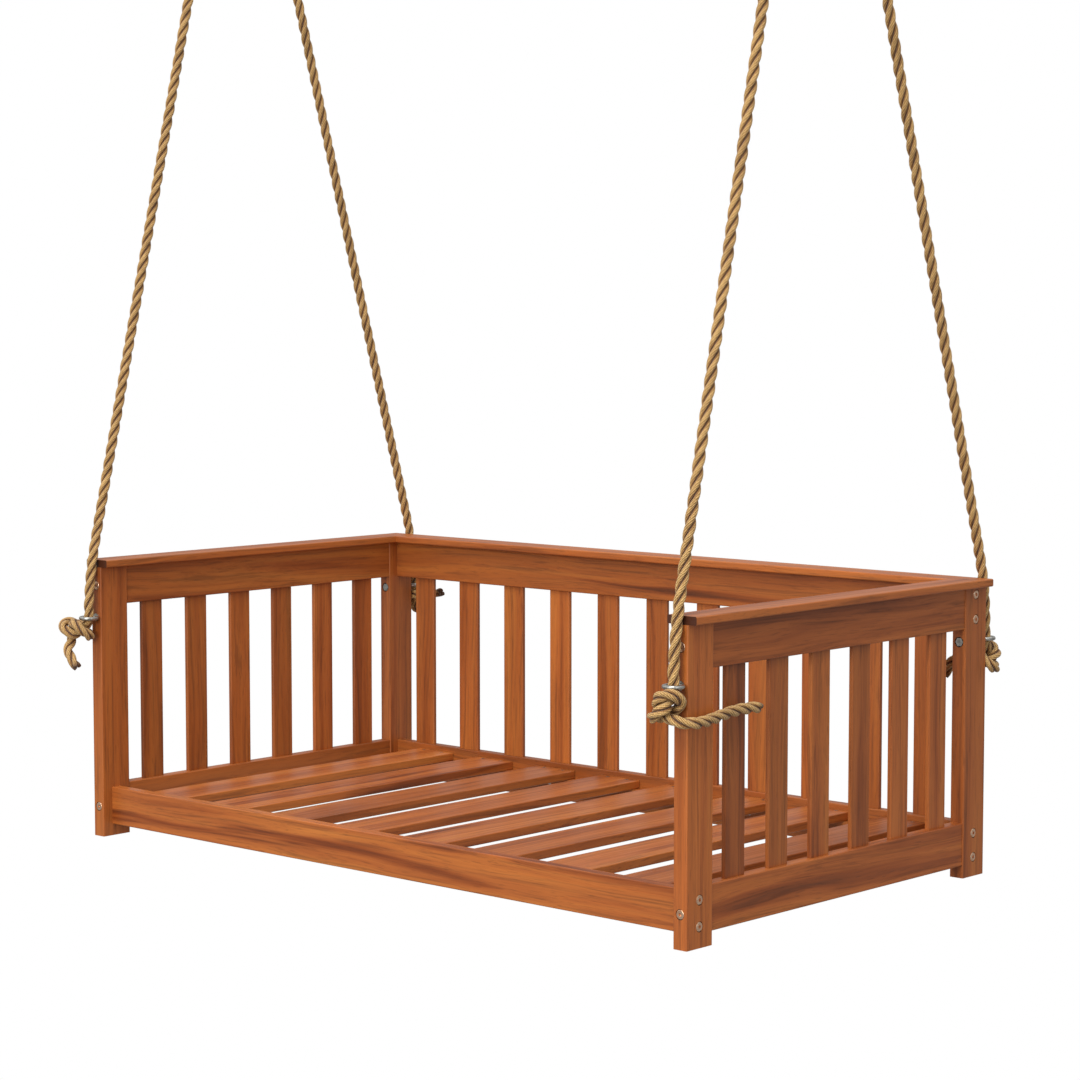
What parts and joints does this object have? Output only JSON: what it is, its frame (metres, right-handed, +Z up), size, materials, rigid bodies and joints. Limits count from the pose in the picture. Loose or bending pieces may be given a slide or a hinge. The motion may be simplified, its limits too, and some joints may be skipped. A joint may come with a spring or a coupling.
{
  "type": "porch swing",
  "caption": "Slatted timber daybed swing with three sides and an open front, hung from two ceiling hooks by knotted three-strand ropes.",
  "frame": {"origin": "midway between the two ceiling hooks, on the ceiling's face", "axes": "+Z up; +X to the right of someone facing the open front, along the line of the hooks; the open front faces -Y"},
  "size_m": [1.4295, 0.8799, 2.144],
  "materials": {
    "timber": "oiled acacia, orange-brown with darker streaks",
    "dowels": "plain beech",
    "bolts": "yellow zinc plate",
    "steel": "zinc plated, dull",
    "rope": "golden tan three-strand polypropylene",
    "twine": "waxed twine"
  },
  "bodies": {
    "root": {"left_hook": "steel", "right_hook": "steel"},
    "swing": {"back_cap": "timber", "back_ledger": "timber", "back_left_knot": "rope", "back_left_post": "timber", "back_left_rope": "rope", "back_lower_rail": "timber", "back_right_knot": "rope", "back_right_post": "timber", "back_right_rope": "rope", "back_slat_1": "timber", "back_slat_10": "timber", "back_slat_11": "timber", "back_slat_2": "timber", "back_slat_3": "timber", "back_slat_4": "timber", "back_slat_5": "timber", "back_slat_6": "timber", "back_slat_7": "timber", "back_slat_8": "timber", "back_slat_9": "timber", "back_upper_rail": "timber", "cap_dowels": "dowels", "eye_bolt_nuts": "steel", "eye_bolt_washers": "steel", "eye_bolts": "steel", "frame_bolts": "bolts", "front_ledger": "timber", "front_left_knot": "rope", "front_left_post": "timber", "front_left_rope": "rope", "front_rail": "timber", "front_right_knot": "rope", "front_right_post": "timber", "front_right_rope": "rope", "ledger_screws": "steel", "left_cap": "timber", "left_end_slats": "timber", "left_lower_rail": "timber", "left_ring": "steel", "left_seizings": "twine", "left_upper_rail": "timber", "rail_inserts": "steel", "right_cap": "timber", "right_end_slats": "timber", "right_lower_rail": "timber", "right_ring": "steel", "right_seizings": "twine", "right_upper_rail": "timber", "seat_screws": "steel", "seat_slat_1": "timber", "seat_slat_2": "timber", "seat_slat_3": "timber", "seat_slat_4": "timber", "seat_slat_5": "timber", "seat_slat_6": "timber", "seat_slat_7": "timber", "seat_slat_8": "timber"}
  },
  "joints": [
    {"name": "swing_hinge", "type": "hinge", "parent": "root", "child": "swing", "pos_m": [0, 0, -0.082], "axis": [1, 0, 0], "range_deg": [-25, 25]}
  ]
}
